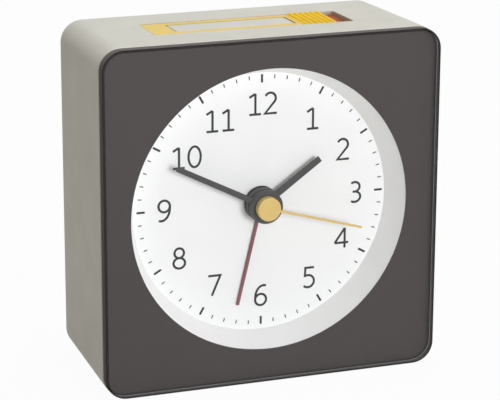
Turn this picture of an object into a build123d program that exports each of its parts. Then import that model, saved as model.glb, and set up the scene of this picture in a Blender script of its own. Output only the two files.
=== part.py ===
from build123d import *

import os
from math import atan, atan2, cos, degrees, radians, sin

# Square quartz table alarm clock, in millimetres.
# X runs to the right, Y into the clock from its front, Z up; the origin is under the middle of the base.

# Case
WIDTH = 72.0
HEIGHT = 72.5
DEPTH = 34.0
CORNER_RADIUS = 4.6
DRAFT = 0.8  # how far the sides and the top draw in towards the rear
WALL = 2.0
REAR_EDGE_RADIUS = 0.8
FRONT_EDGE_RADIUS = 0.3

# Clearances
SEAT_GAP = 0.15  # round a piece that is let into another
RUNNING_GAP = 0.05  # radial, between a shaft and its bearing
LIFT_GAP = 0.05  # under a piece that slides on another

# Front plate, mask, ring and dial
LENS_THICKNESS = 2.0
LENS_EDGE_RADIUS = 0.5
LENS_INSET = 0.1
GLUE = 0.05  # film between the front plate and the mask
MASK_THICKNESS = 0.35
MASK_INSET = 0.15
WINDOW_MARGIN = 6.25  # least width of the mask beside its window
WINDOW_RADIUS = min(WIDTH, HEIGHT) / 2 - WINDOW_MARGIN
RING_FLANGE = 1.0
RING_WALL = 1.0
RING_DRAW = 2.25  # how far the ring draws in from the window to the dial
RING_INNER_RADIUS = WINDOW_RADIUS - RING_DRAW
DIAL_SINK = 6.6  # dial face behind the back of the front plate
DIAL_THICKNESS = 0.5
HUB_WALL = 0.9

# Bosses and screws
BOSS_RADIUS = 2.8
BOSS_INSET = 6.2
RIB = 1.2
RIB_ROOT = 0.5
SCREW_RADIUS = 1.1
SCREW_HEAD_RADIUS = 2.1
SCREW_HEAD = 1.2
SCREW_GRIP = 6.0
SCREW_SLOT = 0.5

# Movement
MOVEMENT_SIDE = 8.0  # from the movement to the sides of the case
MOVEMENT_WIDTH = WIDTH - 2 * MOVEMENT_SIDE
MOVEMENT_ABOVE = 26.0
PLATE = 1.2
HOUSING_WALL = 1.2
HOUSING_DEPTH = 15.7
EAR_RADIUS = 2.4
EAR_HEIGHT = 12.0
POST_RADIUS = 2.2
PILLAR_RADIUS = 1.4
PILLAR_SIDE = 8.0
PILLAR_ACROSS = MOVEMENT_WIDTH / 2 - PILLAR_SIDE
PILLAR_UP = 20.0
PILLAR_DOWN = 6.5
MIDDLE_MARGIN = 2.6
PIVOT_DEPTH = 0.8

# Wheels: thickness and the axial steps between their layers
WHEEL = 0.8
PINION_OVERHANG = 0.2
LAYER_STEP = 1.1
FIRST_LAYER_GAP = 0.2
ADDENDUM = 0.62
DEDENDUM = 1.05
ROOT_SHARE = 0.50
TIP_SHARE = 0.20

# Tooth counts
ROTOR_PINION = 6
INTERMEDIATE_TEETH = 30
INTERMEDIATE_PINION = 8
SECOND_TEETH = 48
SECOND_PINION = 6
THIRD_TEETH = 45
THIRD_PINION = 6
CENTRE_TEETH = 48
CANNON_TEETH = 10
MINUTE_TEETH = 30
MINUTE_PINION = 8
HOUR_TEETH = 32
ALARM_TEETH = 24
ALARM_SETTING_TEETH = 16

# Distances and directions between arbors
TRAIN_DISTANCE = 8.4
MOTION_DISTANCE = 9.0
ROTOR_DISTANCE = 5.04
SETTING_ANGLE = -15.0  # both setting shafts lie this far below the level of the hands
INTERMEDIATE_ANGLE = 155.0
ROTOR_ANGLE = 115.0

# Arbors and the tubes of the hands, from the inside out
ARBOR_RADIUS = 0.5
SHAFT_RADIUS = 0.8
TUBE_WALL = 0.65

# Hands: angle clockwise from twelve, gap from the tip to the ring, widths and heights in front of the dial
HOUR_ANGLE = 54.6
HOUR_TIP_GAP = 12.4
HOUR_WIDTH = 1.42
HOUR_BOSS_RADIUS = 3.6
MINUTE_ANGLE = 297.2
MINUTE_TIP_GAP = 6.1
MINUTE_WIDTH = 1.26
MINUTE_BOSS_RADIUS = 3.5
SECOND_ANGLE = 106.2
SECOND_TIP_GAP = 6.1
SECOND_WIDTH = 0.5
SECOND_CAP_RADIUS = 2.5
ALARM_ANGLE = 193.4
ALARM_TIP_GAP = 5.3
ALARM_WIDTH = 0.62
ALARM_BOSS_RADIUS = 3.3
HAND_TAPER = 0.87
BLADE = 0.4
ALARM_BOSS = 0.6
HOUR_BOSS = 1.3
MINUTE_BOSS = 1.2
SECOND_CAP = 1.5
HAND_GAP = 0.25
CAP_EDGE_RADIUS = 0.25
CAP_FACE = 0.5  # between the end of the second arbor and the face of its cap

# Rear cover, knobs and battery
COVER_THICKNESS = 2.0
TUB_RADIUS = 7.0
TUB_WALL = 1.2
TUB_GAP = 0.6  # between the movement and the floor of the knob recess
KNOB_RADIUS = 5.0
KNOB_HEIGHT = 5.0
KNOB_GAP = 0.3
KNOB_FLUTES = 16
FLUTE_RADIUS = 0.5
KNOB_EDGE = 0.4
KNOB_BORE = 3.5
SHAFT_HOLE_GAP = 0.3
BATTERY_RADIUS = 7.25
BATTERY_LENGTH = 49.5
NUB_RADIUS = 2.75
NUB_LENGTH = 1.0
CONTACT = 0.4
CONTACT_WIDTH = 9.0
SPRING_SPAN = 10.0
SPRING_FLAT = 2.0
BAY_GAP = 0.15
BAY_DROP = 11.2  # top of the battery bay below the hands' axis
DOOR_THICKNESS = 1.4
DOOR_CORNER = 1.2
DOOR_RIB = 1.2
DOOR_RIB_ACROSS = 12.0
DOOR_RIB_LENGTH = 8.0
DOOR_RIB_GAP = 0.3
NOTCH_RADIUS = 4.0
NOTCH_DEPTH = 0.7
SOUND_SLOTS = 5
SOUND_SLOT_LENGTH = 12.0
SOUND_SLOT_WIDTH = 1.2
SOUND_SLOT_PITCH = 2.6
BUZZER_RADIUS = 9.5
BUZZER_THICKNESS = 1.6
BUZZER_UP = 20.5

# Motor and electronics
MAGNET_RADIUS = 2.8
MAGNET = 2.2
AIR_GAP = 0.5
STATOR = 1.0
STATOR_BAR = 3.2
STATOR_EYE = 1.0
COIL_UP = 20.5
COIL_LEFT = -15.0
COIL_RIGHT = 8.0
KNEE_DROP = 6.0  # how far the right leg of the stator runs straight down from the coil
BOBBIN_WALL = 0.6
BOBBIN_FLANGE = 1.7  # beyond the core
BOBBIN_FLANGE_THICKNESS = 0.8
BOBBIN_MARGIN = 2.2
WINDING = 0.7
SUPPORT_RADIUS = 1.2
BOARD = 1.0
BOARD_SIDE = 1.8  # from the circuit board to the wall of the movement
BOARD_WIDTH = 13.0
BOARD_LOW = 2.0
BOARD_HEIGHT = 14.0
BOARD_STAND = 1.6
CRYSTAL_RADIUS = 1.5
CRYSTAL_LENGTH = 8.0

# Switches in the top
SLOT_LENGTH = 42.7
SLOT_WIDTH = 11.7
SLOT_MIDDLE = 0.65  # middle of the slot behind the middle of the case
SLOT_DEPTH = 1.4
SLOT_CORNER = 0.4
LEDGE = 1.0
INLAY_SINK = 0.06
INLAY_LEFT_BLOCK = 5.2
INLAY_RIGHT_BORDER = 0.8
BUTTON_WIDTH = 6.8
BUTTON_GAP = 0.25
BUTTON_SINK = 0.05
BUTTON_FLANGE = 0.7
BUTTON_LIP = 0.6
BUTTON_TRAVEL = 0.8
BUTTON_EDGE = 0.3
FLOOR = 0.5
SLIDER_LENGTH = 7.7
SLIDER_TRAVEL = 3.0
SLIDER_GAP = 0.1
SLIDER_STEP = 0.5
SLIDER_RIBS = 6
SLIDER_RIB_RADIUS = 0.55
SLIDER_PROUD = 0.15
BLADE_THICKNESS = 0.7
BLADE_WIDTH = 3.0
SWITCH_BOARD = 1.0
SWITCH_BOARD_DROP = 5.4  # top of the board below the floor of the slot
SWITCH_BOARD_LENGTH = 44.0
SWITCH_BOARD_WIDTH = 15.4
SWITCH_POST_RADIUS = 1.5
SWITCH_POST_MARGIN = 1.8
SWITCH_HEIGHT = 2.8
SWITCH_REACH = 1.2  # how far the slider's blade reaches into its switch
TACT_SIZE = 6.0
PLUNGER_RADIUS = 1.6
PLUNGER_PROUD = 1.1
PLUNGER_SUNK = 0.4
SLIDE_SWITCH_WIDTH = 6.0
SLIDE_SWITCH_WALL = 1.2

# Depths along Y, from the front
FRONT = -DEPTH / 2
BACK = DEPTH / 2
LENS_BACK = FRONT + LENS_THICKNESS
MASK_FRONT = LENS_BACK + GLUE
CASE_FRONT = MASK_FRONT + MASK_THICKNESS
FLANGE_BACK = CASE_FRONT + RING_FLANGE
DIAL_FRONT = LENS_BACK + DIAL_SINK
DIAL_BACK = DIAL_FRONT + DIAL_THICKNESS
PLATE_BACK = DIAL_BACK + PLATE
HOUSING_BACK = PLATE_BACK + HOUSING_DEPTH
HOUSING_INSIDE = HOUSING_BACK - HOUSING_WALL
COVER_FRONT = BACK - COVER_THICKNESS
TUB_FLOOR = HOUSING_BACK + TUB_GAP
TUB_INSIDE = TUB_FLOOR + TUB_WALL
WELL_FRONT = HOUSING_BACK + SEAT_GAP
DOOR_FRONT = BACK - DOOR_THICKNESS
KNOB_FRONT = TUB_INSIDE + KNOB_GAP
KNOB_BACK = KNOB_FRONT + KNOB_HEIGHT

# Layers of the movement: the front of each wheel
ALARM_LAYER = PLATE_BACK + FIRST_LAYER_GAP
HOUR_LAYER = ALARM_LAYER + LAYER_STEP
MINUTE_LAYER = HOUR_LAYER + LAYER_STEP
MIDDLE_FRONT = MINUTE_LAYER + LAYER_STEP
MIDDLE_BACK = MIDDLE_FRONT + PLATE
CENTRE_LAYER = MIDDLE_BACK + PINION_OVERHANG + FIRST_LAYER_GAP
THIRD_LAYER = CENTRE_LAYER + LAYER_STEP
SECOND_LAYER = THIRD_LAYER + WHEEL + 2 * PINION_OVERHANG + FIRST_LAYER_GAP
INTERMEDIATE_LAYER = SECOND_LAYER + WHEEL + 2 * PINION_OVERHANG + FIRST_LAYER_GAP
MAGNET_FRONT = INTERMEDIATE_LAYER + WHEEL + PINION_OVERHANG + FIRST_LAYER_GAP
STATOR_FRONT = MAGNET_FRONT + (MAGNET - STATOR) / 2
STATOR_BACK = STATOR_FRONT + STATOR
BOARD_BACK = HOUSING_INSIDE - BOARD_STAND
PIVOT_END = HOUSING_INSIDE + PIVOT_DEPTH
ARBOR_END = PIVOT_END - RUNNING_GAP

# Heights along Z
CENTRE = HEIGHT / 2
MOVEMENT_TOP = CENTRE + MOVEMENT_ABOVE
BAY_TOP = CENTRE - BAY_DROP
BAY_BOTTOM = BAY_TOP - 2 * (BATTERY_RADIUS + BAY_GAP)
MOVEMENT_BOTTOM = BAY_BOTTOM - HOUSING_WALL
PARTITION_TOP = BAY_TOP + HOUSING_WALL
BATTERY_HEIGHT = (BAY_TOP + BAY_BOTTOM) / 2
BATTERY_DEPTH = HOUSING_BACK - BATTERY_RADIUS - DOOR_RIB_GAP
TOP_SLOPE = DRAFT / (BACK - CASE_FRONT)
TOP_AT_SLOT = HEIGHT - TOP_SLOPE * (SLOT_MIDDLE - CASE_FRONT)
SLOT_FLOOR = TOP_AT_SLOT - SLOT_DEPTH
FLOOR_TOP = SLOT_FLOOR + FLOOR
SWITCH_BOARD_TOP = SLOT_FLOOR - SWITCH_BOARD_DROP
SWITCH_TOP = SWITCH_BOARD_TOP + SWITCH_HEIGHT
WELL_HEIGHT = BAY_TOP - BAY_BOTTOM
COVER_TOP = HEIGHT - DRAFT - WALL - SEAT_GAP
COVER_BOTTOM = WALL + SEAT_GAP

# Depths of the pieces in the top slot
INLAY_FRONT = SLOT_MIDDLE - SLOT_WIDTH / 2 + SEAT_GAP
INLAY_BACK = SLOT_MIDDLE + SLOT_WIDTH / 2 - SEAT_GAP
SLIDER_FRONT = SLOT_MIDDLE - SLOT_WIDTH / 2 + SLIDER_GAP
SLIDER_BACK = SLOT_MIDDLE + SLOT_WIDTH / 2 - SLIDER_GAP
BUTTON_FRONT = SLOT_MIDDLE - BUTTON_WIDTH / 2
BUTTON_BACK = SLOT_MIDDLE + BUTTON_WIDTH / 2
BLADE_FRONT = SLOT_MIDDLE - BLADE_WIDTH / 2
BLADE_BACK = SLOT_MIDDLE + BLADE_WIDTH / 2
SLIT_FRONT = BLADE_FRONT - SLIDER_GAP
SLIT_BACK = BLADE_BACK + SLIDER_GAP

# Radii of the hands' tubes
MINUTE_TUBE = ARBOR_RADIUS + RUNNING_GAP + TUBE_WALL
HOUR_TUBE = MINUTE_TUBE + RUNNING_GAP + TUBE_WALL
ALARM_TUBE = HOUR_TUBE + RUNNING_GAP + TUBE_WALL
HUB_RADIUS = ALARM_TUBE + RUNNING_GAP + HUB_WALL

# Front faces of the hands, one over the other
ALARM_BOSS_BACK = DIAL_FRONT - HAND_GAP
ALARM_BOSS_FRONT = ALARM_BOSS_BACK - ALARM_BOSS
HOUR_BOSS_BACK = ALARM_BOSS_FRONT - HAND_GAP
HOUR_BOSS_FRONT = HOUR_BOSS_BACK - HOUR_BOSS
MINUTE_BOSS_BACK = HOUR_BOSS_FRONT - HAND_GAP
MINUTE_BOSS_FRONT = MINUTE_BOSS_BACK - MINUTE_BOSS
SECOND_CAP_BACK = MINUTE_BOSS_FRONT - HAND_GAP
SECOND_CAP_FRONT = SECOND_CAP_BACK - SECOND_CAP

# Widths along X
BAY_HALF = MOVEMENT_WIDTH / 2 - HOUSING_WALL
BATTERY_LEFT = -BAY_HALF + CONTACT + NUB_LENGTH
BOARD_LEFT = BAY_HALF - BOARD_SIDE - BOARD_WIDTH
COVER_HALF = WIDTH / 2 - DRAFT - WALL - SEAT_GAP
BOBBIN_LEFT = COIL_LEFT + BOBBIN_MARGIN
BOBBIN_RIGHT = COIL_RIGHT - BOBBIN_MARGIN
SLOT_LEFT = -SLOT_LENGTH / 2
SLOT_RIGHT = SLOT_LENGTH / 2
SLIDER_RIGHT = SLOT_RIGHT - SEAT_GAP - SLIDER_TRAVEL
SLIDER_LEFT = SLIDER_RIGHT - SLIDER_LENGTH
INLAY_RIGHT = SLIDER_LEFT - SLIDER_GAP
BUTTON_LEFT = SLOT_LEFT + INLAY_LEFT_BLOCK
BUTTON_LENGTH = INLAY_RIGHT - INLAY_RIGHT_BORDER - BUTTON_GAP - BUTTON_LEFT
BUTTON_RIGHT = BUTTON_LEFT + BUTTON_LENGTH
BUTTON_MIDDLE = (BUTTON_LEFT + BUTTON_RIGHT) / 2
FLAG_LEFT = SLIDER_LEFT + SLIDER_TRAVEL + SLIDER_GAP
SLIT_RIGHT = SLIDER_RIGHT
SLIT_LEFT = SLIT_RIGHT - SLIDER_TRAVEL - BLADE_THICKNESS - 2 * SLIDER_GAP
BLADE_LEFT = SLIT_LEFT + SLIDER_GAP

# Places across the clock, as (X, Z)
AXIS = (0, CENTRE)
BOSS_SIDES = [(side, up) for side in (-1, 1) for up in (-1, 1)]
EAR_ACROSS = MOVEMENT_WIDTH / 2 + EAR_RADIUS + SEAT_GAP
EARS = [(side * EAR_ACROSS, CENTRE + up * EAR_HEIGHT) for side, up in BOSS_SIDES]
COIL_ENDS = [(COIL_LEFT, CENTRE + COIL_UP), (COIL_RIGHT, CENTRE + COIL_UP)]
BOARD_SUPPORTS = [
    (BOARD_LEFT + SUPPORT_RADIUS, CENTRE + BOARD_LOW + BOARD_HEIGHT - SUPPORT_RADIUS),
    (BOARD_LEFT + BOARD_WIDTH - SUPPORT_RADIUS, CENTRE + BOARD_LOW + SUPPORT_RADIUS),
]
PILLARS = [(side * PILLAR_ACROSS, CENTRE + rise) for side in (-1, 1) for rise in (PILLAR_UP, -PILLAR_DOWN)]


def polar(middle, distance, angle):
    """Point at a distance and an angle, counted from +X towards +Z, from another point."""
    return (middle[0] + distance * cos(radians(angle)), middle[1] + distance * sin(radians(angle)))


def direction(start, end):
    """Angle of the line from one point to another, from +X towards +Z."""
    return degrees(atan2(end[1] - start[1], end[0] - start[0]))


def boss_place(side, up):
    """Middle of the case boss in one corner."""
    height = BOSS_INSET if up < 0 else HEIGHT - BOSS_INSET
    return (side * (WIDTH / 2 - BOSS_INSET), height)


MINUTE_ARBOR = polar(AXIS, MOTION_DISTANCE, SETTING_ANGLE)
ALARM_ARBOR = polar(AXIS, MOTION_DISTANCE, 180 - SETTING_ANGLE)
THIRD_ARBOR = polar(AXIS, TRAIN_DISTANCE, 90)
INTERMEDIATE_ARBOR = polar(AXIS, TRAIN_DISTANCE, INTERMEDIATE_ANGLE)
ROTOR_ARBOR = polar(INTERMEDIATE_ARBOR, ROTOR_DISTANCE, ROTOR_ANGLE)
TUB_CENTRE = (0, MINUTE_ARBOR[1])
KNOB_SPACING = MINUTE_ARBOR[0] - ALARM_ARBOR[0]
LEFT_KNEE = (COIL_LEFT, ROTOR_ARBOR[1])
RIGHT_KNEE = (COIL_RIGHT, CENTRE + COIL_UP - KNEE_DROP)
BOSSES = [boss_place(side, up) for side, up in BOSS_SIDES]


def at_depth(y):
    """Sketch plane across the clock at a depth: its x is X and its y is Z."""
    return Plane.XZ.offset(-y)


def disc(radius, front, back, place=AXIS, mode=Mode.ADD):
    """Round bar along Y from one depth to another."""
    with BuildSketch(at_depth(front)) as outline:
        with Locations(place):
            Circle(radius)
    extrude(outline.sketch, amount=front - back, mode=mode)


def block(low, high, mode=Mode.ADD):
    """Box between two corners."""
    size = [end - start for start, end in zip(low, high)]
    middle = [(start + end) / 2 for start, end in zip(low, high)]
    with Locations(tuple(middle)):
        Box(*size, mode=mode)


def cut_to_top(sink):
    """Cut the part in hand along the sloping top of the case, lowered by a sink."""
    top = Plane(origin=(0, SLOT_MIDDLE, TOP_AT_SLOT - sink), x_dir=(1, 0, 0), z_dir=(0, TOP_SLOPE, 1))
    split(bisect_by=top, keep=Keep.BOTTOM)


def frame_outline(width, height, radius, inset):
    """Rounded outline standing on Z = 0, drawn in by an inset on every side."""
    with BuildSketch() as outline:
        with Locations((0, height / 2)):
            RectangleRounded(width - 2 * inset, height - 2 * inset, radius - inset)
    return outline.sketch


def tooth_outline(teeth, distance, mate, phase):
    """Toothed outline for a wheel that meets its mate at a distance, with one tooth at the phase."""
    module = 2 * distance / (teeth + mate)
    tip = (teeth / 2 + ADDENDUM) * module
    root = (teeth / 2 - DEDENDUM) * module
    step = 360 / teeth
    points = []
    for tooth in range(teeth):
        middle = phase + tooth * step
        for radius, share in ((root, -ROOT_SHARE), (tip, -TIP_SHARE), (tip, TIP_SHARE), (root, ROOT_SHARE)):
            points.append(polar((0, 0), radius, middle + share * step / 2))
    with BuildSketch() as outline:
        with BuildLine():
            Polyline(*points, close=True)
        make_face()
    return outline.sketch


def driving_teeth(teeth, place, mate, mate_place, distance, front, back):
    """Toothed slice with a tooth on the line to its mate."""
    with BuildSketch(at_depth(front)) as outline:
        with Locations(place):
            add(tooth_outline(teeth, distance, mate, direction(place, mate_place)))
    extrude(outline.sketch, amount=front - back)


def driven_teeth(teeth, place, mate, mate_place, distance, front, back):
    """Toothed slice with a gap on the line to its mate."""
    with BuildSketch(at_depth(front)) as outline:
        with Locations(place):
            phase = direction(place, mate_place) + 180 / teeth
            add(tooth_outline(teeth, distance, mate, phase))
    extrude(outline.sketch, amount=front - back)


def ear_outline():
    """The four screw ears at the sides of the movement, reaching in to its walls."""
    reach = EAR_ACROSS - MOVEMENT_WIDTH / 2 + HOUSING_WALL
    with BuildSketch() as outline:
        for side, up in BOSS_SIDES:
            height = CENTRE + up * EAR_HEIGHT
            with Locations((side * EAR_ACROSS, height)):
                Circle(EAR_RADIUS)
            with Locations((side * (EAR_ACROSS - reach / 2), height)):
                Rectangle(reach, 2 * EAR_RADIUS)
    return outline.sketch


def hand_plane(y, clockwise):
    """Sketch plane on the hands' axis whose x points along a hand."""
    angle = radians(clockwise)
    return Plane(origin=(0, y, CENTRE), x_dir=(sin(angle), 0, cos(angle)), z_dir=(0, -1, 0))


def blade_outline(tip_gap, width):
    """Tapered blade of a hand with a square tip, from the hands' axis outwards."""
    length = RING_INNER_RADIUS - tip_gap
    tip = width * HAND_TAPER / 2
    with BuildSketch() as outline:
        with BuildLine():
            Polyline((0, -width / 2), (length, -tip), (length, tip), (0, width / 2), close=True)
        make_face()
    return outline.sketch


def screw(head_back, tip, place):
    """Pan-head screw along Y with a cross recess, driven from the rear."""
    with BuildPart() as made:
        disc(SCREW_HEAD_RADIUS, head_back - SCREW_HEAD, head_back, place)
        disc(SCREW_RADIUS, tip, head_back - SCREW_HEAD, place)
        with BuildSketch(at_depth(head_back - SCREW_HEAD / 2)) as recess:
            with Locations(place):
                Rectangle(SCREW_SLOT, 2 * SCREW_RADIUS)
                Rectangle(2 * SCREW_RADIUS, SCREW_SLOT)
        extrude(recess.sketch, amount=-SCREW_HEAD / 2, mode=Mode.SUBTRACT)
    return made.part


def knob(place):
    """Fluted setting knob with a bore for its shaft."""
    with BuildPart() as made:
        disc(KNOB_RADIUS, KNOB_FRONT, KNOB_BACK, place)
        chamfer(made.faces().sort_by(Axis.Y)[-1].edges(), KNOB_EDGE)
        with BuildSketch(at_depth(KNOB_FRONT)) as flutes:
            with Locations(place):
                with PolarLocations(KNOB_RADIUS, KNOB_FLUTES):
                    Circle(FLUTE_RADIUS)
        extrude(flutes.sketch, amount=-KNOB_HEIGHT, mode=Mode.SUBTRACT)
        disc(SHAFT_RADIUS, KNOB_FRONT, KNOB_FRONT + KNOB_BORE, place, Mode.SUBTRACT)
    return made.part


def coil_section(margin):
    """Section of the stator's bar where it passes the coil, widened by a margin."""
    with BuildSketch() as outline:
        with Locations(((STATOR_FRONT + STATOR_BACK) / 2, CENTRE + COIL_UP)):
            Rectangle(STATOR + 2 * margin, STATOR_BAR + 2 * margin)
    return outline.sketch


os.makedirs("parts", exist_ok=True)

# Case shell: a drafted tube with corner bosses, a stepped slot in the top and posts for the switch board
with BuildPart() as case_shell:
    with BuildSketch(at_depth(CASE_FRONT)):
        with Locations((0, HEIGHT / 2)):
            Rectangle(WIDTH, HEIGHT)
    extrude(amount=CASE_FRONT - BACK)
    sloping = case_shell.faces().filter_by(Axis.X)
    sloping.append(case_shell.faces().filter_by(Axis.Z).sort_by(Axis.Z)[-1])
    draft(sloping, at_depth(CASE_FRONT), -degrees(atan(DRAFT / (BACK - CASE_FRONT))))
    corners = case_shell.edges().filter_by(Axis.X, reverse=True).filter_by(Axis.Z, reverse=True)
    fillet(corners, CORNER_RADIUS)
    ends = case_shell.faces().filter_by(Axis.Y).sort_by(Axis.Y)
    offset(amount=-WALL, openings=[ends[0], ends[-1]])
    rims = case_shell.faces().filter_by(Axis.Y).sort_by(Axis.Y)
    fillet(rims[-1].outer_wire().edges(), REAR_EDGE_RADIUS)
    fillet(rims[0].outer_wire().edges(), FRONT_EDGE_RADIUS)
    with BuildSketch(at_depth(FLANGE_BACK)):
        rib_length = BOSS_INSET - WALL + RIB_ROOT
        for side, up in BOSS_SIDES:
            x, z = boss_place(side, up)
            with Locations((x, z)):
                Circle(BOSS_RADIUS)
            with Locations((x + side * rib_length / 2, z)):
                Rectangle(rib_length, RIB)
            with Locations((x, z + up * rib_length / 2)):
                Rectangle(RIB, rib_length)
    extrude(amount=FLANGE_BACK - COVER_FRONT)
    for boss in BOSSES:
        disc(SCREW_RADIUS + RUNNING_GAP, COVER_FRONT - SCREW_GRIP, COVER_FRONT, boss, Mode.SUBTRACT)
    with BuildSketch(Plane.XY.offset(SLOT_FLOOR)):
        with Locations((0, SLOT_MIDDLE)):
            RectangleRounded(SLOT_LENGTH, SLOT_WIDTH, SLOT_CORNER)
    extrude(amount=SLOT_DEPTH + DRAFT, mode=Mode.SUBTRACT)
    with BuildSketch(Plane.XY.offset(SLOT_FLOOR)):
        with Locations((0, SLOT_MIDDLE)):
            Rectangle(SLOT_LENGTH - 2 * LEDGE, SLOT_WIDTH - 2 * LEDGE)
    extrude(amount=-WALL, mode=Mode.SUBTRACT)
    with BuildSketch(Plane.XY.offset(SWITCH_BOARD_TOP)):
        post_across = SWITCH_BOARD_LENGTH - 2 * SWITCH_POST_MARGIN
        post_deep = SWITCH_BOARD_WIDTH - 2 * SWITCH_POST_MARGIN
        with GridLocations(post_across, post_deep, 2, 2):
            Circle(SWITCH_POST_RADIUS)
    extrude(amount=SWITCH_BOARD_DROP)
case_shell.part.label = "case_shell"
export_step(case_shell.part, "parts/case_shell.step")

# Front plate: clear, with softly rounded front edges
with BuildPart() as front_lens:
    with BuildSketch(at_depth(FRONT)):
        add(frame_outline(WIDTH, HEIGHT, CORNER_RADIUS, LENS_INSET))
    extrude(amount=-LENS_THICKNESS)
    fillet(front_lens.faces().sort_by(Axis.Y)[0].edges(), LENS_EDGE_RADIUS)
front_lens.part.label = "front_lens"
export_step(front_lens.part, "parts/front_lens.step")

# Mask: a thin sheet with the round window
with BuildPart() as front_mask:
    with BuildSketch(at_depth(MASK_FRONT)):
        add(frame_outline(WIDTH, HEIGHT, CORNER_RADIUS, MASK_INSET))
        with Locations(AXIS):
            Circle(WINDOW_RADIUS, mode=Mode.SUBTRACT)
    extrude(amount=-MASK_THICKNESS)
front_mask.part.label = "front_mask"
export_step(front_mask.part, "parts/front_mask.step")

# Reveal ring: a cone down to the dial, with a flange in the mouth of the case and posts for the movement
with BuildPart() as reveal_ring:
    with BuildSketch(at_depth(CASE_FRONT)):
        add(frame_outline(WIDTH, HEIGHT, CORNER_RADIUS, WALL + SEAT_GAP))
        with Locations(AXIS):
            Circle(WINDOW_RADIUS, mode=Mode.SUBTRACT)
    extrude(amount=-RING_FLANGE)
    with BuildSketch(Plane.XY.offset(CENTRE)):
        with BuildLine():
            Polyline(
                (WINDOW_RADIUS, CASE_FRONT),
                (RING_INNER_RADIUS, DIAL_FRONT),
                (RING_INNER_RADIUS + RING_WALL, DIAL_FRONT),
                (WINDOW_RADIUS + RING_WALL, CASE_FRONT),
                close=True,
            )
        make_face()
    revolve(axis=Axis((0, 0, CENTRE), (0, 1, 0)))
    for ear in EARS:
        disc(POST_RADIUS, FLANGE_BACK, DIAL_BACK, ear)
        disc(SCREW_RADIUS + RUNNING_GAP, DIAL_BACK - SCREW_GRIP / 2, DIAL_BACK, ear, Mode.SUBTRACT)
reveal_ring.part.label = "reveal_ring"
export_step(reveal_ring.part, "parts/reveal_ring.step")

# Dial
with BuildPart() as dial:
    disc(RING_INNER_RADIUS + RING_WALL, DIAL_FRONT, DIAL_BACK)
    disc(HUB_RADIUS + RUNNING_GAP, DIAL_FRONT, DIAL_BACK, mode=Mode.SUBTRACT)
dial.part.label = "dial"
export_step(dial.part, "parts/dial.step")

# Front plate of the movement: screw ears, a hub through the dial and pillars for the middle plate
with BuildPart() as movement_front_plate:
    block((-MOVEMENT_WIDTH / 2, DIAL_BACK, MOVEMENT_BOTTOM), (MOVEMENT_WIDTH / 2, PLATE_BACK, MOVEMENT_TOP))
    with BuildSketch(at_depth(DIAL_BACK)):
        add(ear_outline())
    extrude(amount=-PLATE)
    disc(HUB_RADIUS, DIAL_FRONT, DIAL_BACK)
    for pillar in PILLARS:
        disc(PILLAR_RADIUS, PLATE_BACK, MIDDLE_FRONT, pillar)
    disc(ALARM_TUBE + RUNNING_GAP, DIAL_FRONT, PLATE_BACK, mode=Mode.SUBTRACT)
    for arbor in (MINUTE_ARBOR, ALARM_ARBOR):
        disc(ARBOR_RADIUS + RUNNING_GAP, DIAL_BACK, PLATE_BACK, arbor, Mode.SUBTRACT)
    for ear in EARS:
        disc(SCREW_RADIUS + SEAT_GAP, DIAL_BACK, PLATE_BACK, ear, Mode.SUBTRACT)
movement_front_plate.part.label = "movement_front_plate"
export_step(movement_front_plate.part, "parts/movement_front_plate.step")

# Middle plate: carries the front pivots of the train
with BuildPart() as movement_middle_plate:
    block(
        (-PILLAR_ACROSS - MIDDLE_MARGIN, MIDDLE_FRONT, CENTRE - PILLAR_DOWN - MIDDLE_MARGIN),
        (PILLAR_ACROSS + MIDDLE_MARGIN, MIDDLE_BACK, CENTRE + PILLAR_UP + MIDDLE_MARGIN),
    )
    disc(MINUTE_TUBE + RUNNING_GAP, MIDDLE_FRONT, MIDDLE_BACK, mode=Mode.SUBTRACT)
    for arbor in (MINUTE_ARBOR, ALARM_ARBOR):
        disc(SHAFT_RADIUS + RUNNING_GAP, MIDDLE_FRONT, MIDDLE_BACK, arbor, Mode.SUBTRACT)
    for arbor in (THIRD_ARBOR, INTERMEDIATE_ARBOR, ROTOR_ARBOR):
        disc(ARBOR_RADIUS + RUNNING_GAP, MIDDLE_FRONT, MIDDLE_BACK, arbor, Mode.SUBTRACT)
movement_middle_plate.part.label = "movement_middle_plate"
export_step(movement_middle_plate.part, "parts/movement_middle_plate.step")

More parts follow.
